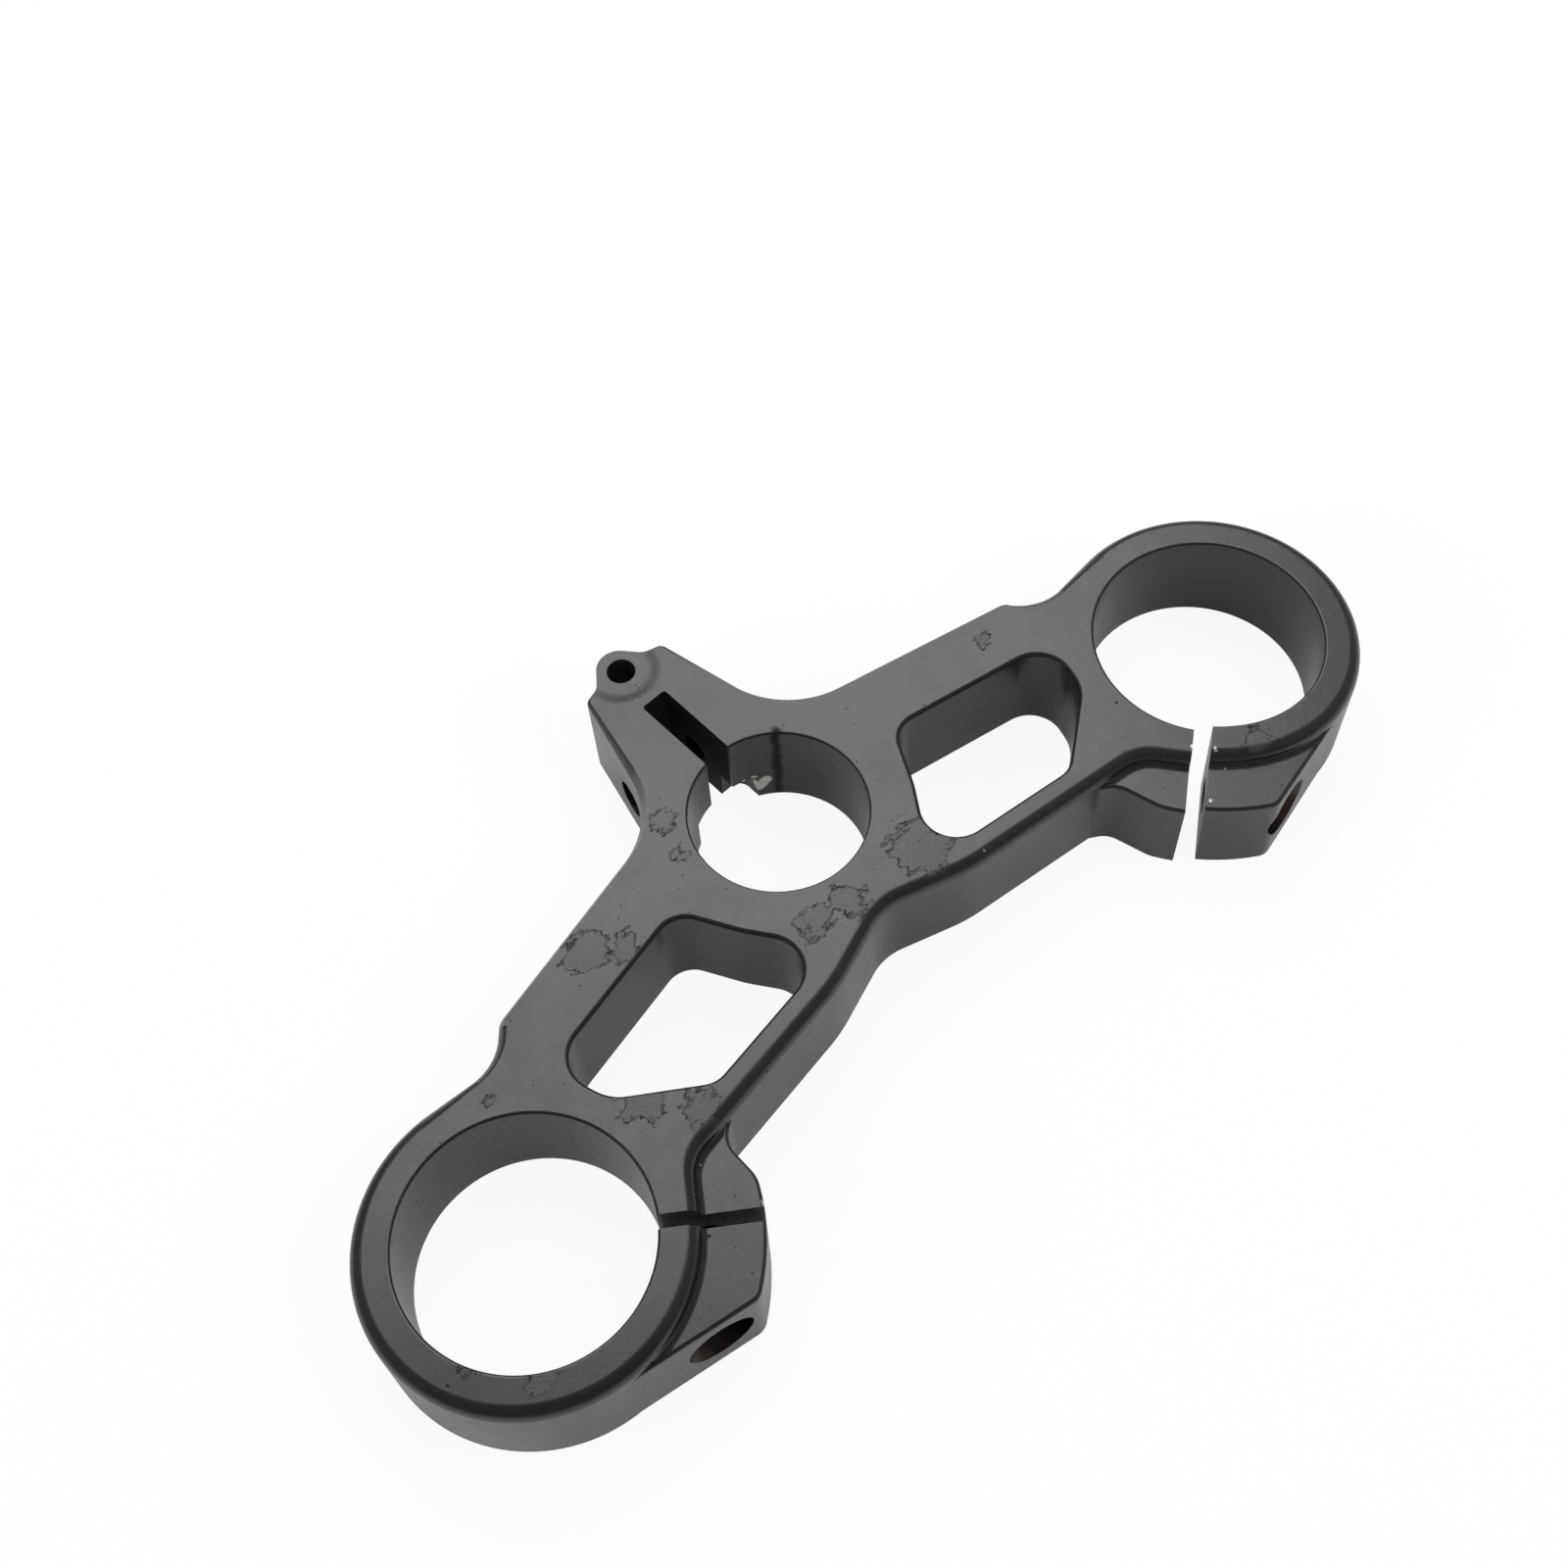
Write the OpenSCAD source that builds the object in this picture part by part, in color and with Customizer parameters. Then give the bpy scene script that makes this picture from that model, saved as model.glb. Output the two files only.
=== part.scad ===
// Motorcycle triple clamp: one cast aluminium plate, machined bores, split and pinched by bolts
// Origin: axis of the stem bore on the underside plane. X runs across the forks, -Y is the front

/* [Layout] */
// Distance between the two fork bore centres
fork_spacing = 207; // [201:1:213]
// How far the fork bores stand in front of the stem bore
fork_offset = 36; // [34.5:0.25:37.5]
// Full height of the plate
plate_h = 26; // [24:0.5:32]

/* [Fork clamps] */
// Diameter of the fork bores
fork_bore = 53; // [50:0.5:54.5]
// Wall of the clamp rings round the fork bores
ring_wall = 8.5; // [7.8:0.1:9.2]
// How far the left pinch ears stand out from the ring
left_ear_reach = 13; // [12.2:0.1:13.8]
// How far the right pinch ears stand out, less as that arm is sprung
right_ear_reach = 11.6; // [11:0.1:12.6]
// Step from the plate top down to the ear tops
ear_step = 3.6; // [3.3:0.1:6]
// Direction of the slits, down from the line through the fork bores
slit_angle = 36.4; // [34.5:0.1:38]
// Width of the saw slits
slit_w = 3; // [2:0.2:4]
// Extra gap of the right slit, its free arm stands open
right_spread = 1.2; // [0:0.1:2]

/* [Pinch bolts] */
// Distance of the bolt axis from the fork bore wall
bolt_reach = 9.8; // [9.2:0.1:11]
// Height of the bolt axis above the underside
bolt_z = 12; // [9:0.5:13]
// Clearance hole in the free ear
bolt_hole = 8.5; // [7:0.25:9]
// Tapping hole in the fixed ear
bolt_tap = 6.8; // [5:0.1:6.9]
// Depth of the tapping hole past the slit
tap_depth = 17; // [12:0.5:20]
// Counterbore for the bolt head
head_bore = 13.6; // [12:0.2:14]
// Metal left between the counterbore and the slit
head_seat = 10; // [8:0.25:12]

/* [Stem clamp] */
// Diameter of the steering stem bore
stem_bore = 40.4; // [38:0.2:42]
// Wall between the stem bore and the windows
hub_wall = 10.8; // [9.8:0.1:11.4]
// Width of the slot at the back of the stem bore
slot_w = 6.8; // [5:0.2:8]
// Distance of the slot end from the stem axis
slot_end = 41.8; // [39:0.2:43]
// Radius of the corners at the slot end
slot_corner = 0.8; // [0.4:0.1:1.6]
// Width of the pocket under the mouth of the slot
pocket_w = 18.6; // [16:0.2:20]
// Distance of the pocket end from the stem axis
pocket_end = 24.5; // [23:0.25:26]
// Height of the pocket above the underside
pocket_h = 8.6; // [6:0.2:10]
// Distance of the stem pinch bolt from the stem axis
stem_bolt_y = 33; // [31:0.25:35]
// Height of the stem pinch bolt above the underside
stem_bolt_z = 11; // [9:0.5:14]
// Clearance hole of the stem pinch bolt on the left side
stem_bolt_hole = 9; // [7:0.25:9.5]

/* [Lug] */
// Distance of the lug hole from the stem axis
lug_y = 53.2; // [52.8:0.1:54]
// Hole through the lug
lug_hole = 6.4; // [5:0.1:7]
// Radius of the rounded end of the lug
lug_end_r = 5.25; // [5:0.05:5.6]
// Sunk face round the lug hole
lug_dish = 18.6; // [17:0.2:20]
// Depth of the sunk face
dish_depth = 0.6; // [0.3:0.05:0.8]

/* [Edges] */
// Radius of the shoulder round the front and the rings
shoulder_r = 3; // [2:0.1:3.2]
// Width of the steep edge along the back of the webs, as deep as the shoulder
steep_w = 1.45; // [0.8:0.05:2]
// Radius along the top edge of the lug
lug_edge_r = 0.8; // [0.5:0.1:1.2]
// Radius along the top edge of the ears
ear_edge_r = 0.9; // [0.5:0.1:1.2]
// Radius along the underside edges
under_r = 0.6; // [0.3:0.1:1]
// Radius round the window tops
window_top_r = 1; // [0.5:0.1:1.3]
// Radius round the window undersides
window_under_r = 0.5; // [0.3:0.1:0.8]
// Chamfer of the bores: at both ends of the fork bores, at the top of the stem bore
bore_chamfer = 0.75; // [0.3:0.05:1.2]

/* [Hidden] */
fork_x = fork_spacing / 2;
fork_y = -fork_offset;
ring_r = fork_bore / 2 + ring_wall;
stem_r = stem_bore / 2;
bolt_u = fork_bore / 2 + bolt_reach;
ear_h = plate_h - ear_step;
arc_step = 10;

// Top edges as [inset, depth] points from the side up to the top face, all with as many points
shoulder_edge = quarter(shoulder_r, 5);
steep_edge = [
    for (q = [[0, 1], [0.04, 0.9], [0.3, 0.65], [0.65, 0.35], [0.94, 0.06], [1, 0]])
        [q[0] * steep_w, q[1] * shoulder_r]
];
lug_edge = quarter(lug_edge_r, 5);

// Belt circles are [x, y, radius, side, edge]: side 1 lies in the metal, side -1 outside it
// A point given from the right fork bore centre
function near_fork(x, y) = [fork_x + x, fork_y + y];
function fork_polar(r, a) = [fork_x + r * cos(a), fork_y + r * sin(a)];
function ring_circle(p, r, side, edge) = [p[0], p[1], r, side, edge];
function hub_polar(gap, a, r) = let (d = stem_r + hub_wall + gap) [d * cos(a), d * sin(a), r, 1];

// Back of the plate, right side: saddle at the ring, knee, web, lug corner and lug hollow
saddle_r = 13;
back_half = [
    ring_circle(fork_polar(ring_r + saddle_r + 1.25, 107.35), saddle_r, -1, shoulder_edge),
    ring_circle(near_fork(-29.2, 36.5), 4.8, 1, steep_edge),
    [37.5, 35.7, 21, -1, steep_edge],
    [9.87, 50.5, 2.1, 1, lug_edge],
    [9.55, lug_y + 3.6, 3.85, -1, lug_edge]
];
plate_half = concat([
    [29.3, -0.8, 40, 1, shoulder_edge],
    ring_circle(near_fork(-41, -19.4), 9.5, -1, shoulder_edge),
    [fork_x, fork_y, ring_r, 1, shoulder_edge]
], back_half);
plate_belt = concat(
    [[0, -47.9, 14, -1, shoulder_edge]],
    plate_half,
    [[0, lug_y + 0.9, lug_end_r, 1, lug_edge]],
    flip(plate_half)
);

// Ear block of one side, drawn for the right: root hollow, fixed corner, face, free corner
ear_edge = quarter(ear_edge_r, 2);
left_turn = 235;
right_turn = 238;
function ear_belt(reach, turn) = let (face_r = ring_r + reach) [
    ring_circle(near_fork(-56.6, 1.4), 4, 1, ear_edge),
    ring_circle(near_fork(-49.1, -15.1), 6, -1, ear_edge),
    ring_circle(fork_polar(face_r - 8, 209), 8, 1, ear_edge),
    [fork_x, fork_y, face_r, 1, ear_edge],
    ring_circle(fork_polar(face_r - 4, turn), 4, 1, ear_edge),
    ring_circle(fork_polar(ring_r - 6.2, 280.5), 6, 1, ear_edge)
];
left_ear = ear_belt(left_ear_reach, left_turn);
right_ear = ear_belt(right_ear_reach, right_turn);

// Window of the right side, its circles lie in the opening
window_belt = [
    ring_circle(near_fork(-37.9, 18.5), 8, 1),
    hub_polar(7.67, -15.3, 6.7),
    [0, 0, stem_r + hub_wall, -1],
    hub_polar(8.28, -42.6, 7.9),
    ring_circle(near_fork(-51.5, 4.6), 6.3, 1),
    ring_circle(near_fork(-40.5, 16.9), 10, 1)
];

function flip(list) = [
    for (c = backward(list))
        [-c[0], c[1], c[2], c[3], c[4]]
];
function turn_of(a) = (a % 360 + 360) % 360;

// Direction of the straight that touches two circles, as the angle of its outward normal
function touch(a, b) = let (
    d = [b[0] - a[0], b[1] - a[1]],
    s = (a[2] * a[3] - b[2] * b[3]) / norm(d)
) atan2(d[1], d[0]) - acos(max(-1, min(1, s)));
function touches(list) = [
    for (i = [0 : len(list) - 1])
        touch(list[i], list[(i + 1) % len(list)])
];
function sweep(c, from, to) = c[3] > 0 ? turn_of(to - from) : -turn_of(from - to);

// Points of one circle between its two straights, in as many steps as it has without an inset
function arc(c, from, to, z, steps) = [
    for (k = [0 : steps])
        let (t = from + sweep(c, from, to) * k / steps)
            [c[0] + c[3] * c[2] * cos(t), c[1] + c[3] * c[2] * sin(t), z]
];
function steps_of(c, from, to) = max(1, ceil(abs(sweep(c, from, to)) / arc_step));

// Closed outline round a list of circles, moved into the metal by one inset for each circle
function belt(list, insets, heights) = let (
    n = len(list),
    moved = [for (i = [0 : n - 1]) let (c = list[i]) [c[0], c[1], c[2] - insets[i] * c[3], c[3]]],
    plain_dir = touches(list),
    dir = touches(moved)
) [
    for (i = [0 : n - 1])
        let (before = (i + n - 1) % n, steps = steps_of(list[i], plain_dir[before], plain_dir[i]))
            each arc(moved[i], dir[before], dir[i], heights[i], steps)
];
function level_belt(list, inset, z) = belt(list, [for (c = list) inset], [for (c = list) z]);

// Quarter round between a side and a face, as [inset, depth from the face], from the side on
function quarter(r, n) = [
    for (k = [0 : n])
        let (t = 90 * k / n)
            [r - r * cos(t), r - r * sin(t)]
];
function backward(list) = [for (i = [len(list) - 1 : -1 : 0]) list[i]];

// Solid between outlines with as many points each, from the underside up
module skin(rings) {
    n = len(rings[0]);
    m = len(rings);
    walls = [
        for (i = [0 : m - 2])
            for (j = [0 : n - 1])
                let (a = i * n + j, b = i * n + (j + 1) % n)
                    each [[a, b + n, b], [a, a + n, b + n]]
    ];
    top = (m - 1) * n;
    polyhedron(
        points = [for (ring = rings) each ring],
        faces = concat(
            [[for (j = [0 : n - 1]) j]],
            walls,
            [[for (j = [n - 1 : -1 : 0]) top + j]]
        )
    );
}

// Plate of the given height, its top edge follows the edge named by each circle
module rounded_plate(list, h) {
    foot = [for (q = backward(quarter(under_r, 1))) level_belt(list, q[0], q[1])];
    top = [
        for (k = [0 : len(list[0][4]) - 1])
            belt(list, [for (c = list) c[4][k][0]], [for (c = list) h - c[4][k][1]])
    ];
    skin(concat(foot, top));
}

// Opening of a window with rounded rims at both faces
module window_cut() {
    past = 0.5;
    skin(concat(
        [level_belt(window_belt, -window_under_r, -past)],
        [for (q = backward(quarter(window_under_r, 1))) level_belt(window_belt, -q[0], q[1])],
        [for (q = quarter(window_top_r, 2)) level_belt(window_belt, -q[0], plate_h - q[1])],
        [level_belt(window_belt, -window_top_r, plate_h + past)]
    ));
}

// Round bore through the plate, chamfered at the top and, where asked, at the foot
module chamfered_bore(d, foot) {
    reach = 0.5;
    translate([0, 0, -1])
        cylinder(d = d, h = plate_h + 2, $fn = 96);
    if (foot)
        translate([0, 0, -reach])
            cylinder(d1 = d + 2 * (bore_chamfer + reach), d2 = d, h = bore_chamfer + reach, $fn = 96);
    translate([0, 0, plate_h - bore_chamfer])
        cylinder(d1 = d, d2 = d + 2 * (bore_chamfer + reach), h = bore_chamfer + reach, $fn = 96);
}

// Places what follows at a fork bore, turned so that X runs out along the slit
module at_slit() {
    translate([fork_x, fork_y, 0])
        rotate([0, 0, 180 + slit_angle])
            children();
}

// Saw slit of the right side, wider by the spread of a sprung arm
module slit_cut(spread) {
    at_slit()
        translate([fork_bore / 2 - 4, -slit_w / 2, -1])
            cube([30, slit_w + spread, plate_h + 2]);
}

// Pinch bolt holes of the right side: clearance and counterbore in the free ear, then the thread
module pinch_holes(spread) {
    at_slit() {
        translate([bolt_u, 0, bolt_z])
            rotate([-90, 0, 0])
                cylinder(d = bolt_hole, h = 40, $fn = 48);
        translate([bolt_u, slit_w / 2 + spread + head_seat, bolt_z])
            rotate([-90, 0, 0])
                cylinder(d = head_bore, h = 30, $fn = 48);
        translate([bolt_u, 0, bolt_z])
            rotate([90, 0, 0])
                cylinder(d = bolt_tap, h = slit_w / 2 + tap_depth, $fn = 48);
    }
}

// Slot at the back of the stem bore and the pocket under its mouth
module slot_cut() {
    corner = 3;
    translate([0, 0, -1])
        linear_extrude(plate_h + 2)
            offset(r = slot_corner, $fn = 24)
                translate([-slot_w / 2 + slot_corner, 0])
                    square([slot_w - 2 * slot_corner, slot_end - slot_corner]);
    translate([0, 0, -1])
        linear_extrude(pocket_h + 1)
            hull()
                for (side = [-1, 1]) {
                    translate([side * (pocket_w / 2 - corner), pocket_end - corner])
                        circle(r = corner, $fn = 24);
                    translate([side * (pocket_w / 2 - corner), 0])
                        circle(r = corner, $fn = 24);
                }
}

// Stem pinch bolt across the slot: clearance from the left side, thread on the right
module stem_bolt_holes() {
    translate([-30, stem_bolt_y, stem_bolt_z])
        rotate([0, 90, 0])
            cylinder(d = stem_bolt_hole, h = 30, $fn = 48);
    translate([0, stem_bolt_y, stem_bolt_z])
        rotate([0, 90, 0])
            cylinder(d = bolt_tap, h = 30, $fn = 48);
}

module lug_bore() {
    translate([0, lug_y, -1])
        cylinder(d = lug_hole, h = plate_h + 2, $fn = 48);
}

// Sunk face round the lug hole with a sloping rim
module lug_dish_cut() {
    rim = 1.1;
    past = 0.5;
    translate([0, lug_y, plate_h - dish_depth])
        cylinder(d1 = lug_dish - 2 * rim, d2 = lug_dish, h = dish_depth, $fn = 72);
    translate([0, lug_y, plate_h])
        cylinder(d = lug_dish, h = past, $fn = 72);
}

// The cast plate with its ears, windows, slits and slot, before the round machining
module casting() {
    resize([0, 0, 0])
        difference() {
            union() {
                rounded_plate(plate_belt, plate_h);
                rounded_plate(right_ear, ear_h);
                mirror([1, 0, 0])
                    rounded_plate(left_ear, ear_h);
            }
            window_cut();
            slit_cut(right_spread);
            mirror([1, 0, 0]) {
                window_cut();
                slit_cut(0);
            }
            slot_cut();
            lug_dish_cut();
        }
}

module triple_clamp() {
    color([0.2, 0.2, 0.21])
        difference() {
            casting();
            for (side = [-1, 1])
                translate([side * fork_x, fork_y, 0])
                    chamfered_bore(fork_bore, true);
            chamfered_bore(stem_bore, false);
            pinch_holes(right_spread);
            mirror([1, 0, 0])
                pinch_holes(0);
            stem_bolt_holes();
            lug_bore();
        }
}

triple_clamp();
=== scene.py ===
import math

import bmesh
import bpy
from mathutils import Matrix, Vector


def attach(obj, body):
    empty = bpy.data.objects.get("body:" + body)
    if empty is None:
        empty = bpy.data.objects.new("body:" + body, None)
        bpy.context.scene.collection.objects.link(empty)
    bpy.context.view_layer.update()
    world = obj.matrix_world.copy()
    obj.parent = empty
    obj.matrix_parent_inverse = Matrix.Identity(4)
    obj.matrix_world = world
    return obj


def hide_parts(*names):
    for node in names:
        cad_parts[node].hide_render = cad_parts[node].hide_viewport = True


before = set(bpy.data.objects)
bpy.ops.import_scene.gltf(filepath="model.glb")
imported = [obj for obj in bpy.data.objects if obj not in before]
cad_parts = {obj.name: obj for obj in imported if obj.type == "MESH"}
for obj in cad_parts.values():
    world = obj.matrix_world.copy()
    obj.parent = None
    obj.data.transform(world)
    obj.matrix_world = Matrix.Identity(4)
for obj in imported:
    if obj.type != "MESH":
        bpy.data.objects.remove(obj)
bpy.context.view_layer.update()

# The clamp plate is one aluminium casting with two split fork clamps, a stem bore and a lug behind.
# Its sides follow a belt laid round circles. The top edge is a broad shoulder round the rings and
# the front, a steep chamfer along the back webs, and a small round at the lug.
mm = 0.001
fork = (103.5, -36.0)
fork_ring_r = 35.0
plate_height = 26.0
lug_y = 53.2


def near_fork(x, y, r, side, *edge):
    """Belt circle placed from the right fork's axis. Side is 1 round it, -1 past it."""
    return (fork[0] + x, fork[1] + y, r, side, *edge)


def round_fork(distance, degrees, r, side, *edge):
    turn = math.radians(degrees)
    return near_fork(distance * math.cos(turn), distance * math.sin(turn), r, side, *edge)


def round_stem(distance, degrees, r):
    turn = math.radians(degrees)
    return (distance * math.cos(turn), distance * math.sin(turn), r, 1)


def rounded_edge(r, steps):
    """Quarter round as (inset, depth), from the side of the casting up to its top face."""
    turns = [math.pi / 2 * k / steps for k in range(steps + 1)]
    return [(r - r * math.cos(t), r - r * math.sin(t)) for t in turns]


def steep_edge(width, depth, steps):
    """Steep chamfer with a soft foot, as (inset, depth)."""
    foot, softness = 0.06, 0.05
    rise = [(k / steps - foot + math.hypot(k / steps - foot, softness)) / 2 for k in range(steps + 1)]
    grown = [(r - rise[0]) / (rise[-1] - rise[0]) for r in rise]
    return [(width * g, depth * (1 - k / steps)) for k, g in enumerate(grown)]


edge_steps = 12
shoulder = rounded_edge(3.0, edge_steps)
chamfer = steep_edge(1.45, 3.0, edge_steps)
lug_edge = rounded_edge(0.8, edge_steps)
saddle_edge = [((a + c) / 2, (b + d) / 2) for (a, b), (c, d) in zip(shoulder, chamfer)]
foot_edge = rounded_edge(0.6, 4)
right_half = [
    (29.3, -0.8, 40.0, 1, shoulder),
    near_fork(-41.0, -19.4, 9.5, -1, shoulder),
    (*fork, fork_ring_r, 1, shoulder),
    round_fork(49.25, 107.35, 13.0, -1, saddle_edge),
    near_fork(-29.2, 36.5, 4.8, 1, chamfer),
    (37.5, 35.7, 21.0, -1, chamfer),
    (9.87, 50.5, 2.1, 1, lug_edge),
    (9.55, lug_y + 3.6, 3.85, -1, lug_edge),
]
front_middle = (0.0, -47.9, 14.0, -1, shoulder)
lug_end = (0.0, lug_y + 0.9, 5.25, 1, lug_edge)
left_half = [(-x, y, r, side, edge) for x, y, r, side, edge in reversed(right_half)]
plate_belt = [front_middle, *right_half, lug_end, *left_half]


def touching_turns(circles):
    """Direction in which the belt leaves each circle for the next one."""
    turns = []
    for here, there in zip(circles, circles[1:] + circles[:1]):
        along = (there[0] - here[0], there[1] - here[1])
        lean = (here[2] * here[3] - there[2] * there[3]) / math.hypot(*along)
        lean = max(-1.0, min(1.0, lean))
        turns.append(math.degrees(math.atan2(along[1], along[0]) - math.acos(lean)))
    return turns


def belt_outline(circles, insets, heights):
    """Belt round the circles, with its own inset into the metal and its own height at each circle."""
    degrees_per_point = 3.0
    moved = [(c[0], c[1], c[2] - inset * c[3], c[3]) for c, inset in zip(circles, insets)]
    plain_turns = touching_turns(circles)
    turns = touching_turns(moved)
    points = []
    for i, (x, y, r, side) in enumerate(moved):
        plain_sweep = (side * (plain_turns[i] - plain_turns[i - 1])) % 360
        sweep = side * ((side * (turns[i] - turns[i - 1])) % 360)
        count = max(1, math.ceil(plain_sweep / degrees_per_point))
        for k in range(count + 1):
            t = math.radians(turns[i - 1] + sweep * k / count)
            points.append((x + side * r * math.cos(t), y + side * r * math.sin(t), heights[i]))
    return points


def level_outline(circles, inset, height):
    return belt_outline(circles, [inset] * len(circles), [height] * len(circles))


def edged_outlines(circles, height):
    """Outlines from the foot round to the top face, where each circle has its own edge."""
    outlines = [level_outline(circles, inset, depth) for inset, depth in reversed(foot_edge)]
    for k in range(len(circles[0][4])):
        insets = [c[4][k][0] for c in circles]
        heights = [height - c[4][k][1] for c in circles]
        outlines.append(belt_outline(circles, insets, heights))
    return outlines


def mirrored(outlines):
    return [[(-x, y, z) for x, y, z in reversed(outline)] for outline in outlines]


def as_object(name, bm):
    bmesh.ops.recalc_face_normals(bm, faces=bm.faces)
    mesh = bpy.data.meshes.new(name)
    bm.to_mesh(mesh)
    bm.free()
    made = bpy.data.objects.new(name, mesh)
    bpy.context.scene.collection.objects.link(made)
    return made


def raised(name, outlines):
    """Solid that is extruded from its first outline through each later one."""
    bm = bmesh.new()
    row = [bm.verts.new(Vector(point) * mm) for point in outlines[0]]
    cap = bm.faces.new(row)
    foot = cap
    for outline in outlines[1:]:
        place = {tuple(vert.co): k for k, vert in enumerate(row)}
        grown = bmesh.ops.extrude_face_region(bm, geom=[cap])["geom"]
        if cap is not foot:
            bmesh.ops.delete(bm, geom=[cap], context="FACES_ONLY")
        cap = next(item for item in grown if isinstance(item, bmesh.types.BMFace))
        row = sorted(cap.verts, key=lambda vert: place[tuple(vert.co)])
        for vert, point in zip(row, outline):
            vert.co = Vector(point) * mm
    return as_object(name, bm)


def turned(name, centre, axis, profile, sides):
    """Cutter turned about an axis, with its profile as (distance along the axis, radius)."""
    bm = bmesh.new()
    along = Vector(axis).normalized()
    outward = along.orthogonal().normalized()
    start = Vector(centre)
    closed = [(profile[0][0], 0.0), *profile, (profile[-1][0], 0.0)]
    chain = [bm.verts.new((start + along * d + outward * r) * mm) for d, r in closed]
    edges = [bm.edges.new(pair) for pair in zip(chain, chain[1:])]
    bmesh.ops.spin(
        bm, geom=chain + edges, cent=start * mm, axis=along, angle=math.tau, steps=sides, use_merge=True)
    bmesh.ops.remove_doubles(bm, verts=bm.verts, dist=1e-6)
    return as_object(name, bm)


def block(name, low, high, turn=0.0, about=(0.0, 0.0), far_corner_r=0.0):
    """Block cutter between two corners, turned about a point, with its far upright edges rounded."""
    bm = bmesh.new()
    low, high = Vector(low), Vector(high)
    size = Matrix.Diagonal((*(high - low), 1))
    bmesh.ops.create_cube(bm, size=1.0, matrix=Matrix.Translation((low + high) / 2) @ size)
    if far_corner_r:
        hair = 1e-4
        far = [e for e in bm.edges if all(abs(v.co.y - high.y) < hair for v in e.verts)]
        upright = [e for e in far if abs(e.verts[0].co.z - e.verts[1].co.z) > hair]
        bmesh.ops.bevel(
            bm, geom=upright, offset=far_corner_r, offset_type="OFFSET", segments=8, profile=0.5,
            affect="EDGES", material=-1)
    swing = Matrix.Rotation(math.radians(turn), 4, "Z")
    bmesh.ops.transform(bm, matrix=Matrix.Translation((*about, 0)) @ swing, verts=bm.verts)
    bmesh.ops.scale(bm, vec=(mm, mm, mm), verts=bm.verts)
    return as_object(name, bm)


def folded(target, tools, operation):
    """Joins the tools to a solid, cuts them from it or keeps what they share, and removes them."""
    group = bpy.data.collections.new(operation.lower())
    for tool in tools:
        bpy.context.scene.collection.objects.unlink(tool)
        group.objects.link(tool)
    modifier = target.modifiers.new(operation.lower(), "BOOLEAN")
    modifier.operation = operation
    modifier.solver = "EXACT"
    modifier.operand_type = "COLLECTION"
    modifier.collection = group
    modifier.use_self = operation == "DIFFERENCE"
    ready = target.evaluated_get(bpy.context.evaluated_depsgraph_get())
    mesh = bpy.data.meshes.new_from_object(ready)
    target.modifiers.clear()
    old = target.data
    target.data = mesh
    bpy.data.meshes.remove(old)
    for tool in tools:
        bpy.data.objects.remove(tool)
    bpy.data.collections.remove(group)


casting = raised("triple_clamp_casting", edged_outlines(plate_belt, plate_height))

# The lug behind is cast with the plate. A small hole for a screw is drilled through it, and round
# the hole a shallow seat is sunk into its top, whose rim is worn soft.
below = -1
above = plate_height + 1
lug_hole_r = 3.2
seat_z = plate_height - 0.6
seat_r = 5.8
rim_r = 10.2
rim_step = 0.44
rim_lift = 0.62
lug_sides = 96


def eased(value, low, high):
    """Smooth share from 0 at one limit to 1 at the other."""
    t = max(0.0, min(1.0, (value - low) / (high - low)))
    return t * t * (3 - 2 * t)


rim_radii = [seat_r + rim_step * k for k in range(11)]
seat_rim = [(seat_z + rim_lift * eased(r, seat_r, rim_r), r) for r in rim_radii]
lug_hole = [(below, lug_hole_r), (seat_z - 0.25, lug_hole_r), (seat_z, 3.4), *seat_rim, (above, 10.3)]
folded(casting, [turned("lug_hole", (0, lug_y, 0), (0, 0, 1), lug_hole, lug_sides)], "DIFFERENCE")

# Clamping ears stand on the front of each ring, a little lower than the plate and split by a slit.
# They are cast with it, so where the shoulder of the plate comes down to them it has a hollow fillet.
ear_height = 22.4
ear_edge = rounded_edge(0.9, 6)
fillet_r = 1.6
right_ears = (11.6, 238)
left_ears = (13.0, 235)


def ear_belt(reach, turn):
    """Belt of one pair of ears, by how far they stand out and where their free end turns in."""
    face = fork_ring_r + reach
    return [
        near_fork(-56.6, 1.4, 4.0, 1, ear_edge),
        near_fork(-49.1, -15.1, 6.0, -1, ear_edge),
        round_fork(face - 8, 209, 8.0, 1, ear_edge),
        (*fork, face, 1, ear_edge),
        round_fork(face - 4, turn, 4.0, 1, ear_edge),
        round_fork(fork_ring_r - 6.2, 280.5, 6.0, 1, ear_edge),
    ]


def hollow_fillet():
    """Foot of the shoulder as (inset, height): an arc that touches the ear top and the shoulder."""
    steps = 8
    bite = 0.04
    under_ear_top = 0.5
    inside_plate = 1.0
    shoulder_r = shoulder[-1][0]
    apart = shoulder_r + fillet_r
    rise = ear_height + fillet_r - (plate_height - shoulder_r)
    centre = shoulder_r - math.sqrt(apart ** 2 - rise ** 2) + bite
    turns = [(math.acos(rise / apart) + bite) * k / steps for k in range(steps + 1)]
    arc = [(centre + fillet_r * math.sin(t), ear_height + fillet_r * (1 - math.cos(t))) for t in turns]
    return [(centre, ear_height - under_ear_top), *arc, (inside_plate, arc[-1][1])]


def on_side(side, name, outlines):
    return raised(name, outlines if side > 0 else mirrored(outlines))


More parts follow.
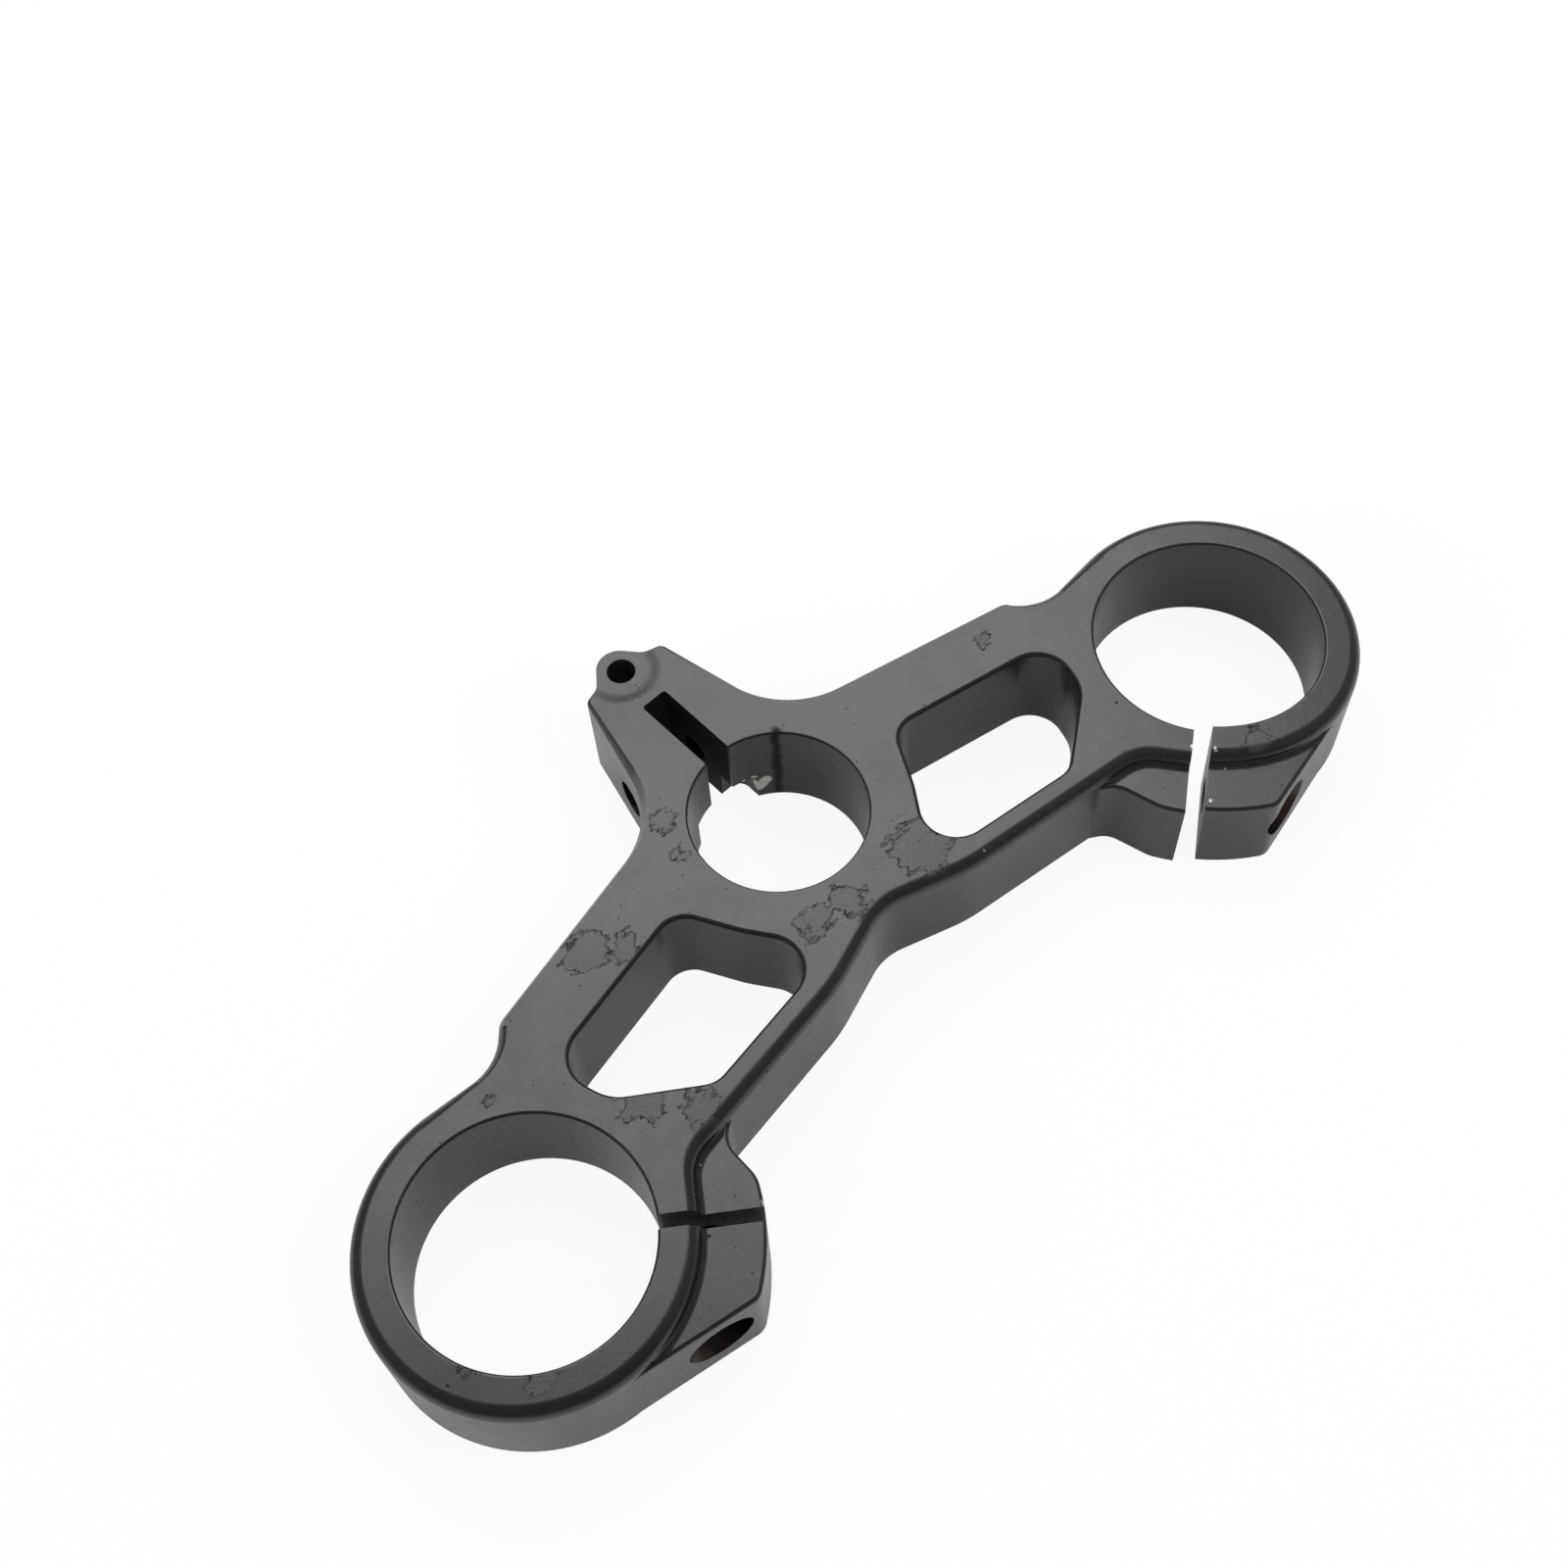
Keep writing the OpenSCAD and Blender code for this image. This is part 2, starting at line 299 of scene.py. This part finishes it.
ears = []
for side, (reach, turn) in ((1, right_ears), (-1, left_ears)):
    belt = ear_belt(reach, turn)
    ears.append(on_side(side, "ears", edged_outlines(belt, ear_height)))
    flat_top = ear_edge[-1][0]
    over_ears = [level_outline(belt, flat_top, z) for z in (ear_height - 1, plate_height)]
    fillet = on_side(side, "fillet", [level_outline(plate_belt, inset, z) for inset, z in hollow_fillet()])
    folded(fillet, [on_side(side, "over_ears", over_ears)], "INTERSECT")
    ears.append(fillet)
folded(casting, ears, "UNION")

# Each web between stem and fork has an open window, cast through it and bounded by the ring round
# the stem. Its top edge is rounded by a millimetre and its foot by half of that.
stem_ring_r = 31.0
window_foot = rounded_edge(0.5, 4)
window_top = rounded_edge(1.0, 6)
window_belt = [
    near_fork(-37.9, 18.5, 8.0, 1),
    round_stem(stem_ring_r + 7.67, -15.3, 6.7),
    (0.0, 0.0, stem_ring_r, -1),
    round_stem(stem_ring_r + 8.28, -42.6, 7.9),
    near_fork(-51.5, 4.6, 6.3, 1),
    near_fork(-40.5, 16.9, 10.0, 1),
]
window_wall = [(-0.5, -0.4)]
window_wall += [(-inset, depth) for inset, depth in reversed(window_foot)]
window_wall += [(-inset, plate_height - depth) for inset, depth in window_top]
window_wall += [(-1.6, plate_height + 0.6)]
window = [level_outline(window_belt, inset, z) for inset, z in window_wall]
cuts = [raised("right_window", window), raised("left_window", mirrored(window))]

# The forks and the stem pass through bored holes with a small broken edge, and each ring is sawn
# open by a slit. A pinch bolt crosses it: a clearance hole and a sunk seat for its head in the free
# ear, a blind tapped hole in the fixed one.
fork_bore_r = 26.5
stem_bore_r = 20.2
broken_edge = 0.75
slit_width = 3.0
slit_start, slit_end = 22.5, 52.5
right_arm_spread = 1.2
wall_angle = 36.4
bolt_height, bolt_distance = 12, 36.3
bolt_hole_r, bolt_head_r, thread_r = 4.25, 6.8, 3.4
free_ear, open_air = 10, 22
bore_sides, bolt_sides, thread_sides = 192, 64, 48
softened = [(0.0, 1.0), (0.12, 0.55), (0.55, 0.12), (1.0, 0.0)]
foot_rim = [(broken_edge * d, broken_edge * r) for d, r in softened]
top_rim = [(plate_height - d, r) for d, r in reversed(foot_rim)]
open_foot = [(below, broken_edge + 1)]
open_top = [(above, broken_edge + 1)]
stem_wall = [(d, stem_bore_r + r) for d, r in [(below, 0), *top_rim, *open_top]]
fork_wall = [(d, fork_bore_r + r) for d, r in [*open_foot, *foot_rim, *top_rim, *open_top]]
tapped = [(0, thread_r), (18.5, thread_r), (20.4, 0.1)]
cuts.append(turned("stem_bore", (0, 0, 0), (0, 0, 1), stem_wall, bore_sides))
for side, spread in ((1, right_arm_spread), (-1, 0.0)):
    centre = (side * fork[0], fork[1])
    cuts.append(turned("fork_bore", (*centre, 0), (0, 0, 1), fork_wall, bore_sides))
    turn = 180 + wall_angle if side > 0 else -wall_angle
    low, high = -slit_width / 2, slit_width / 2 + spread
    cuts.append(block("slit", (slit_start, low, below), (slit_end, high, above), turn, centre))
    outward = Vector((math.cos(math.radians(turn)), math.sin(math.radians(turn)), 0))
    across = side * Vector((-outward.y, outward.x, 0))
    bolt = Vector((*centre, bolt_height)) + outward * bolt_distance
    seat = high + free_ear
    clearance = [(0, bolt_hole_r), (seat, bolt_hole_r), (seat, bolt_head_r), (seat + open_air, bolt_head_r)]
    cuts.append(turned("pinch_clearance", bolt, across, clearance, bolt_sides))
    cuts.append(turned("pinch_thread", bolt, -across, tapped, thread_sides))

# Behind the stem bore the plate is slotted and hollowed from below, so that a bolt can pinch it.
# The bolt's hole is drilled in from the left through the slot, and tapped in the far side.
slot_half, slot_end, slot_corner_r = 3.4, 41.8, 0.8
pocket_half, pocket_end, pocket_height, pocket_corner_r = 9.3, 24.5, 8.6, 3.0
stem_bolt = (0, 33, 11)
stem_bolt_r, stem_bolt_reach = 4.5, 30
slot = ((-slot_half, 0, below), (slot_half, slot_end, above))
pocket = ((-pocket_half, 0, below), (pocket_half, pocket_end, pocket_height))
near_hole = [(0, stem_bolt_r), (stem_bolt_reach, stem_bolt_r)]
far_hole = [(0, thread_r), (stem_bolt_reach, thread_r)]
cuts.append(block("stem_slot", *slot, far_corner_r=slot_corner_r))
cuts.append(block("stem_pocket", *pocket, far_corner_r=pocket_corner_r))
cuts.append(turned("stem_clearance", stem_bolt, (-1, 0, 0), near_hole, bolt_sides))
cuts.append(turned("stem_thread", stem_bolt, (1, 0, 0), far_hole, thread_sides))
folded(casting, cuts, "DIFFERENCE")
casting.data.name = "triple_clamp_casting"

# The free right arm stands sprung open, with no bolt to draw it in: it leans out toward its slit
# end, more so lower down. The arm runs round the front of the fork bore, from the slit to its root.
arm_start, arm_root = 217.5, 300
bend_sweep = 75
lean_out, lean_low, lean_up = 1.1, 0.3, 0.9
inside_bore, right_of = 20, 60
for vert in casting.data.vertices:
    x, y, z = vert.co / mm - Vector((*fork, 0))
    turn = math.degrees(math.atan2(y, x)) % 360
    if arm_start < turn < arm_root and math.hypot(x, y) > inside_bore and x + fork[0] > right_of:
        share = eased(arm_root - turn, 0, bend_sweep)
        low_down = 1 - z / plate_height
        vert.co.x += share * (lean_out + lean_low * low_down) * mm
        vert.co.y += share * lean_up * (1 - low_down) * mm

# The machined casting is one closed, smooth skin. Slivers that the cuts left are filled or joined
# to their flat faces, and only true corners stay sharp.
flat_angle, sharp_angle = 0.05, 28
bm = bmesh.new()
bm.from_mesh(casting.data)
bmesh.ops.holes_fill(bm, edges=[edge for edge in bm.edges if edge.is_boundary], sides=4)
bmesh.ops.dissolve_limit(bm, angle_limit=math.radians(flat_angle), verts=bm.verts, edges=bm.edges)
for face in bm.faces:
    face.smooth = True
bm.to_mesh(casting.data)
bm.free()
casting.data.set_sharp_from_angle(angle=math.radians(sharp_angle))
weights = casting.modifiers.new("flat faces stay flat", "WEIGHTED_NORMAL")
weights.keep_sharp = True
weights.weight = 90

# The casting wears a thin satin charcoal coat. It has lifted in map-like patches, shows the cast
# skin through it, is chipped to bare metal at sawn corners and rusty brown in the bolt seats.


def add(tree, kind, links=None, values=None, **settings):
    """A node with its settings, its plain socket values and what is linked into it."""
    node = tree.nodes.new(kind)
    for key, value in settings.items():
        setattr(node, key, value)
    for key, value in (values or {}).items():
        node.inputs[key].default_value = value
    for key, source in (links or {}).items():
        tree.links.new(source, node.inputs[key])
    return node


def maths(tree, operation, *values):
    node = add(tree, "ShaderNodeMath", operation=operation)
    for k, value in enumerate(values):
        if isinstance(value, (int, float)):
            node.inputs[k].default_value = value
        else:
            tree.links.new(value, node.inputs[k])
    return node.outputs[0]


def span(tree, value, low, high, to_low=0.0, to_high=1.0):
    """Smooth ramp of a value between two limits."""
    limits = {"From Min": low, "From Max": high, "To Min": to_low, "To Max": to_high}
    node = add(tree, "ShaderNodeMapRange", {"Value": value}, limits, interpolation_type="SMOOTHSTEP")
    return node.outputs[0]


def noise(tree, place, scale, detail=2.0, rough=0.5):
    values = {"Scale": scale, "Detail": detail, "Roughness": rough}
    return add(tree, "ShaderNodeTexNoise", {"Vector": place}, values)


def cells(tree, place, scale):
    """Scattered cells: distance from each one's middle, and a colour that is its lot."""
    node = add(tree, "ShaderNodeTexVoronoi", {"Vector": place}, {"Scale": scale})
    lot = add(tree, "ShaderNodeSeparateColor", {0: node.outputs["Color"]})
    return node.outputs["Distance"], lot.outputs


def blend(tree, share, low, high):
    """Colour between two others. A Mix node takes its colours in sockets 6 and 7."""
    node = add(tree, "ShaderNodeMix", data_type="RGBA")
    for key, value in ((0, share), (6, low), (7, high)):
        if isinstance(value, (int, float, tuple)):
            node.inputs[key].default_value = value
        else:
            tree.links.new(value, node.inputs[key])
    return node.outputs[2]


def effect(name, outputs):
    """Shared effect that reads a place in millimetres and puts out masks and values."""
    tree = bpy.data.node_groups.new(name, "ShaderNodeTree")
    tree.interface.new_socket("Place", in_out="INPUT", socket_type="NodeSocketVector")
    for out in outputs:
        tree.interface.new_socket(out, in_out="OUTPUT", socket_type="NodeSocketFloat")
    return tree, tree.nodes.new("NodeGroupInput").outputs[0], tree.nodes.new("NodeGroupOutput")


def nearest(tree, place, spots):
    """Distance to the rim of the nearest round spot, less than nothing inside it."""
    found = None
    for x, y, z, r in spots:
        apart = add(tree, "ShaderNodeVectorMath", {0: place}, {1: (x, y, z)}, operation="DISTANCE")
        gap = maths(tree, "SUBTRACT", apart.outputs["Value"], r)
        found = gap if found is None else maths(tree, "MINIMUM", found, gap)
    return found


def warped(tree, place, scale, amount):
    """Place that is shifted a little by noise, so that round spots come out ragged."""
    color = noise(tree, place, scale, 3.0).outputs["Color"]
    centred = add(tree, "ShaderNodeVectorMath", {0: color}, {1: (0.5, 0.5, 0.5)}, operation="SUBTRACT")
    moved = add(tree, "ShaderNodeVectorMath", {0: centred.outputs[0]}, {"Scale": amount}, operation="SCALE")
    return add(tree, "ShaderNodeVectorMath", {0: place, 1: moved.outputs[0]}, operation="ADD").outputs[0]


def flaked_coat():
    """Patches of lifted coat: a broken dark outline round a sunk, paler and rougher ground."""
    tree, place, out = effect("flaked_coat", ("Inside", "Line", "Height"))
    spots = [
        (15.5, -28.5, 26, 6.5), (-4.5, -27.5, 26, 3.6), (-13.5, -26.5, 26, 4.2), (-53.5, 3.6, 26, 5.2),
        (-46.0, -1.5, 26, 2.6), (-67.5, -30.5, 26, 4.6), (-60.0, -39.5, 26, 3.6), (-20.5, 16.0, 26, 2.6),
        (-23.6, 7.6, 26, 1.2), (-89.8, -9.5, 26, 1.0), (-119.0, -60.0, 26, 3.0), (-125.5, -48.0, 26, 2.6),
        (89.0, -62.0, 26, 2.4), (66.0, 0.5, 26, 1.4),
    ]
    ragged = 17.0
    grit_depth, ground_depth, line_depth = 0.10, 0.09, 0.04
    drift = {"Rotation": (0, 0, 0.6), "Scale": (0.75, 1.25, 1.0)}
    stretched = add(tree, "ShaderNodeMapping", {0: place}, drift).outputs[0]
    coast = noise(tree, stretched, 0.19, 7.0, 0.68).outputs[0]
    wander = maths(tree, "MULTIPLY_ADD", coast, ragged, -ragged / 2)
    gap = maths(tree, "ADD", nearest(tree, place, spots), wander)
    seen = noise(tree, place, 0.35, 1.0).outputs[0]
    line = span(tree, maths(tree, "ABSOLUTE", gap), 0.05, 0.32, 1.0, 0.0)
    line = maths(tree, "MULTIPLY", line, span(tree, seen, 0.4, 0.6))
    inside = span(tree, gap, -0.5, 0.1, 1.0, 0.0)
    ground = noise(tree, place, 1.6, 4.0, 0.7).outputs[0]
    grit = maths(tree, "MULTIPLY", inside, maths(tree, "MULTIPLY_ADD", ground, grit_depth, -ground_depth))
    tree.links.new(inside, out.inputs["Inside"])
    tree.links.new(line, out.inputs["Line"])
    tree.links.new(maths(tree, "MULTIPLY_ADD", line, -line_depth, grit), out.inputs["Height"])
    return tree


def surface_grain():
    """Cast skin under satin paint: soft waviness, orange peel and a fine tooth, with a few pits."""
    tree, place, out = effect("surface_grain", ("Height", "Tone", "Pits"))
    tooth, peel, wave, pit_depth = 0.006, 0.012, 0.05, 0.08
    height = maths(tree, "MULTIPLY", noise(tree, place, 5.0, 2.0, 0.6).outputs[0], tooth)
    height = maths(tree, "MULTIPLY_ADD", noise(tree, place, 0.9, 3.0, 0.55).outputs[0], peel, height)
    height = maths(tree, "MULTIPLY_ADD", noise(tree, place, 0.12, 3.0).outputs[0], wave, height)
    pits = 0.0
    for scale, size, chosen in ((0.16, 0.075, 0.72), (0.42, 0.085, 0.78)):
        distance, lot = cells(tree, place, scale)
        pit = span(tree, distance, size * 0.3, size, 1.0, 0.0)
        pit = maths(tree, "MULTIPLY", pit, span(tree, lot["Red"], chosen, chosen + 0.02))
        pits = maths(tree, "MAXIMUM", pits, pit)
    tree.links.new(maths(tree, "MULTIPLY_ADD", pits, -pit_depth, height), out.inputs["Height"])
    broad_share, fine_share = 0.65, 0.35
    broad = maths(tree, "MULTIPLY", noise(tree, place, 0.035, 4.0, 0.6).outputs[0], broad_share)
    tone = maths(tree, "MULTIPLY_ADD", noise(tree, place, 0.4, 4.0, 0.7).outputs[0], fine_share, broad)
    tree.links.new(tone, out.inputs["Tone"])
    tree.links.new(pits, out.inputs["Pits"])
    return tree


def dust_specks():
    """Light dust in two sizes and the odd bright glint."""
    tree, place, out = effect("dust_specks", ("Dust", "Glint"))
    found = []
    for scale, size, chosen in ((0.3, 0.05, 0.6), (0.9, 0.09, 0.72), (0.085, 0.03, 0.6)):
        distance, lot = cells(tree, place, scale)
        speck = span(tree, distance, size * 0.5, size, 1.0, 0.0)
        found.append(maths(tree, "MULTIPLY", speck, span(tree, lot["Green"], chosen, chosen + 0.02)))
    coarse, fine, glint = found
    tree.links.new(maths(tree, "MAXIMUM", coarse, fine), out.inputs["Dust"])
    tree.links.new(glint, out.inputs["Glint"])
    return tree


def chips_and_rust():
    """Bright chips at the saw-cut corners and at the slot's mouth, and rust in the bolt seats."""
    tree, place, out = effect("chips_and_rust", ("Bare", "Rust"))
    chips = [
        (77.3, -53.2, 25.6, 0.7), (80.6, -57.2, 25.4, 0.8), (71.4, -64.4, 22.2, 0.5),
        (68.3, -63.3, 22.2, 0.3), (-63.3, -62.5, 22.2, 0.7), (9.6, 17.8, 4.5, 1.9),
        (11.0, 16.9, 6.6, 1.5), (8.6, 18.4, 8.8, 0.8), (6.2, 19.4, 8.8, 0.5),
        (78.9, -52.9, 14.0, 0.4), (70.0, -66.0, 11.0, 0.3),
    ]
    seats = [(-87.1, -74.5, 12, 6.6), (88.9, -74.4, 12, 6.6), (-16.2, 32.8, 11, 4.0)]
    bare = nearest(tree, warped(tree, place, 1.3, 1.6), chips)
    tree.links.new(span(tree, bare, -0.15, 0.2, 1.0, 0.0), out.inputs["Bare"])
    rust = nearest(tree, warped(tree, place, 0.5, 3.0), seats)
    tree.links.new(span(tree, rust, -0.6, 0.8, 1.0, 0.0), out.inputs["Rust"])
    return tree


def charcoal_coat():
    bluish, brownish = (0.0120, 0.0120, 0.0150, 1), (0.0180, 0.0150, 0.0150, 1)
    cast_skin, scraped_and_pale = (0.050, 0.052, 0.046, 1), (0.12, 0.115, 0.10, 1)
    dusty, rusty = (0.16, 0.155, 0.145, 1), (0.05, 0.02, 0.012, 1)
    near_black, bright_metal = (0.003, 0.003, 0.003, 1), (0.62, 0.60, 0.55, 1)
    coat = bpy.data.materials.new("charcoal_coat")
    coat.use_nodes = True
    tree = coat.node_tree
    tree.nodes.clear()
    bsdf = add(tree, "ShaderNodeBsdfPrincipled", {}, {"IOR": 1.55})
    add(tree, "ShaderNodeOutputMaterial", {0: bsdf.outputs[0]})
    metres = add(tree, "ShaderNodeTexCoord").outputs["Object"]
    place = add(tree, "ShaderNodeVectorMath", {0: metres}, {"Scale": 1 / mm}, operation="SCALE").outputs[0]
    part = add(tree, "ShaderNodeSeparateXYZ", {0: place})
    normal = add(tree, "ShaderNodeNewGeometry").outputs["Normal"]
    up = add(tree, "ShaderNodeSeparateXYZ", {0: normal}).outputs["Z"]
    flat = span(tree, up, 0.6, 0.9)
    found = {}
    for effect_tree in (flaked_coat(), surface_grain(), dust_specks(), chips_and_rust()):
        node = add(tree, "ShaderNodeGroup", node_tree=effect_tree)
        tree.links.new(place, node.inputs[0])
        for socket in node.outputs:
            found[effect_tree.name + "_" + socket.name] = socket
    inside = maths(tree, "MULTIPLY", found["flaked_coat_Inside"], flat)
    line = maths(tree, "MULTIPLY", found["flaked_coat_Line"], flat)
    tone = found["surface_grain_Tone"]
    pits = found["surface_grain_Pits"]
    dust = maths(tree, "MULTIPLY", found["dust_specks_Dust"], span(tree, up, -0.2, 0.9, 0.25, 1.0))
    glint = maths(tree, "MULTIPLY", found["dust_specks_Glint"], flat)
    sparkle = maths(tree, "MULTIPLY", maths(tree, "MULTIPLY", dust, inside), 0.6)
    bare = maths(tree, "MAXIMUM", found["chips_and_rust_Bare"], maths(tree, "MAXIMUM", glint, sparkle))
    rust = found["chips_and_rust_Rust"]

    # a washer has scraped a ring round the lug hole, and the near rim of its seat is painted paler
    ring_r, pale_rim_r = 4.85, 9.3
    lug = add(tree, "ShaderNodeVectorMath", {0: place}, {1: (0, lug_y, seat_z)}, operation="DISTANCE")
    lug = maths(tree, "MULTIPLY_ADD", noise(tree, place, 0.8).outputs[0], 0.5, lug.outputs["Value"])
    off_ring = maths(tree, "ABSOLUTE", maths(tree, "SUBTRACT", lug, ring_r))
    off_rim = maths(tree, "ABSOLUTE", maths(tree, "SUBTRACT", lug, pale_rim_r))
    ring = span(tree, off_ring, 0.1, 0.5, 0.7, 0.0)
    rim = span(tree, off_rim, 0.1, 0.7, 1.0, 0.0)
    rim = maths(tree, "MULTIPLY", rim, span(tree, part.outputs["Y"], 47.5, 44.5))
    rim = maths(tree, "MULTIPLY", rim, span(tree, noise(tree, place, 1.2, 3.0).outputs[0], 0.4, 0.6))
    scraped_ring_and_pale_rim = maths(tree, "MAXIMUM", maths(tree, "MULTIPLY", ring, flat), rim)

    # a dark streak is painted down the far wall of the stem bore
    upright = {1: (1, 1, 0.05)}
    dark_streak = warped(tree, place, 0.3, 2.0)
    dark_streak = add(tree, "ShaderNodeVectorMath", {0: dark_streak}, upright, operation="MULTIPLY").outputs[0]
    dark_streak = span(tree, nearest(tree, dark_streak, [(13.6, 15.4, 0.8, 1.0)]), -0.6, 0.9, 1.0, 0.0)

    # the slot behind the stem bore is painted near black and dull inside: painted shade in its recess
    off_middle = maths(tree, "ABSOLUTE", part.outputs["X"])
    painted_slot_shade = span(tree, off_middle, slot_half + 0.1, slot_half + 0.4, 1.0, 0.0)
    painted_slot_shade = maths(tree, "MULTIPLY", painted_slot_shade, span(tree, part.outputs["Y"], stem_bore_r + 0.2, stem_bore_r + 0.6))
    painted_slot_shade = maths(tree, "MULTIPLY", painted_slot_shade, span(tree, part.outputs["Y"], slot_end + 0.4, slot_end + 0.2))
    painted_slot_shade = maths(tree, "MULTIPLY", painted_slot_shade, span(tree, up, 0.5, 0.3))

    # painted colour cast of the light: the coat is painted a little bluer on the left of the plate and
    # browner on the right
    cloudy = maths(tree, "SUBTRACT", tone, 0.5)
    across = maths(tree, "MULTIPLY_ADD", cloudy, 0.8, span(tree, part.outputs["X"], -130, 130))
    color = blend(tree, across, bluish, brownish)
    color = blend(tree, maths(tree, "MULTIPLY", inside, 0.45), color, cast_skin)
    color = blend(tree, maths(tree, "MULTIPLY", scraped_ring_and_pale_rim, 0.6), color, scraped_and_pale)
    color = blend(tree, maths(tree, "MULTIPLY", dust, 0.35), color, dusty)
    color = blend(tree, maths(tree, "MULTIPLY", rust, 0.75), color, rusty)
    # pits, flake outlines, the dark streak and the painted shade in the slot are painted near black together
    dark = maths(tree, "MAXIMUM", pits, maths(tree, "MAXIMUM", dark_streak, painted_slot_shade))
    dark = maths(tree, "MAXIMUM", line, dark)
    color = blend(tree, maths(tree, "MULTIPLY", dark, 0.85), color, near_black)
    color = blend(tree, bare, color, bright_metal)
    tree.links.new(color, bsdf.inputs["Base Color"])
    tree.links.new(bare, bsdf.inputs["Metallic"])

    # the satin is duller where it is lifted, dusty, worn, paler at the seat rim or rusty, and where it is
    # painted dark, the dark streak and the painted slot shade included
    rough = maths(tree, "MULTIPLY_ADD", inside, 0.03, span(tree, tone, 0.3, 0.7, 0.25, 0.34))
    dull = maths(tree, "MAXIMUM", dust, maths(tree, "MAXIMUM", scraped_ring_and_pale_rim, rust))
    for mask, more in ((dull, 0.15), (dark, 0.5), (bare, 0.15)):
        rough = maths(tree, "MULTIPLY_ADD", mask, more, rough)
    tree.links.new(rough, bsdf.inputs["Roughness"])
    chip_depth = 0.15
    lifted = maths(tree, "MULTIPLY", found["flaked_coat_Height"], flat)
    height = maths(tree, "ADD", found["surface_grain_Height"], lifted)
    height = maths(tree, "MULTIPLY_ADD", bare, -chip_depth, height)
    bump = add(tree, "ShaderNodeBump", {"Height": height}, {"Strength": 1.0, "Distance": mm})
    tree.links.new(bump.outputs[0], bsdf.inputs["Normal"])
    return coat


casting.data.materials.clear()
casting.data.materials.append(charcoal_coat())
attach(casting, "root")
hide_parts("triple_clamp")

# The part lies on a pale studio table, so large that its edge is out of sight. The paper on it
# shows as white to the camera and in reflections, and still takes the shadow.
half_table = 8.0
under_part = 0.2 * mm
seen_white, mirrored_white = 0.92, 0.32
bm = bmesh.new()
bmesh.ops.create_grid(bm, x_segments=1, y_segments=1, size=half_table)
table_top = as_object("table_top", bm)
table_top.location.z = -under_part
paper = bpy.data.materials.new("white_paper")
paper.use_nodes = True
tree = paper.node_tree
tree.nodes.clear()
white = add(tree, "ShaderNodeBsdfDiffuse", {}, {"Color": (0.9, 0.9, 0.9, 1)})
shown = add(tree, "ShaderNodeEmission", {}, {"Color": (1, 1, 1, 1)})
ray = add(tree, "ShaderNodeLightPath")
share = maths(tree, "MULTIPLY", ray.outputs["Is Camera Ray"], seen_white)
share = maths(tree, "MULTIPLY_ADD", ray.outputs["Is Glossy Ray"], mirrored_white, share)
mix = add(tree, "ShaderNodeMixShader", {0: share, 1: white.outputs[0], 2: shown.outputs[0]})
add(tree, "ShaderNodeOutputMaterial", {0: mix.outputs[0]})
table_top.data.materials.append(paper)

# A broad soft lamp stands behind the part, in a dim grey room that is darkest behind the camera.
# Two fills light the table at the front right and the left, and are kept out of the reflections.
behind_camera = (-0.47, -0.67, 0.57)
room_light, room_shade = 0.26, 0.11
scene = bpy.context.scene
room = bpy.data.worlds.new("room")
scene.world = room
room.use_nodes = True
tree = room.node_tree
tree.nodes.clear()
toward = add(tree, "ShaderNodeTexCoord").outputs["Generated"]
facing = add(tree, "ShaderNodeVectorMath", {0: toward}, {1: behind_camera}, operation="DOT_PRODUCT")
strength = span(tree, facing.outputs["Value"], 0.2, 0.75, room_light, room_shade)
dim = add(tree, "ShaderNodeBackground", {"Strength": strength}, {"Color": (1, 1, 1, 1)})
plain = add(tree, "ShaderNodeBackground", {}, {"Color": (1, 1, 1, 1)})
ray = add(tree, "ShaderNodeLightPath").outputs["Is Camera Ray"]
mix = add(tree, "ShaderNodeMixShader", {0: ray, 1: dim.outputs[0], 2: plain.outputs[0]})
add(tree, "ShaderNodeOutputWorld", {0: mix.outputs[0]})


def soft_lamp(name, place, side, watts):
    """Square area lamp that faces the part."""
    light = bpy.data.lights.new(name, "AREA")
    light.shape = "RECTANGLE"
    light.size = side
    light.size_y = side
    light.energy = watts
    lamp = bpy.data.objects.new(name, light)
    lamp.location = place
    lamp.rotation_euler = (-Vector(place)).to_track_quat("-Z", "Y").to_euler()
    scene.collection.objects.link(lamp)
    return lamp


soft_lamp("back_softbox", (0.38, 0.52, 1.03), 0.92, 9.2)
for fill in (
        soft_lamp("front_fill", (0.45, -0.80, 0.90), 0.6, 6.5),
        soft_lamp("left_fill", (-0.95, 0.25, 0.60), 0.6, 4.5)):
    fill.visible_glossy = False

# The camera stands above the left front of the part and looks down on it, as in the photo.
# Its place and lens are worked out from the bores and edges there.
lens = bpy.data.cameras.new("camera")
lens.sensor_width = 36
lens.lens = 46.478
lens.clip_start = 0.01
lens.shift_x = -0.0004
camera = bpy.data.objects.new("camera", lens)
camera.location = (-0.14668, -0.17551, 0.41215)
camera.rotation_euler = [math.radians(turn) for turn in (31.30585, 1.97857, -43.57791)]
scene.collection.objects.link(camera)
scene.camera = camera
scene.view_settings.view_transform = "Standard"
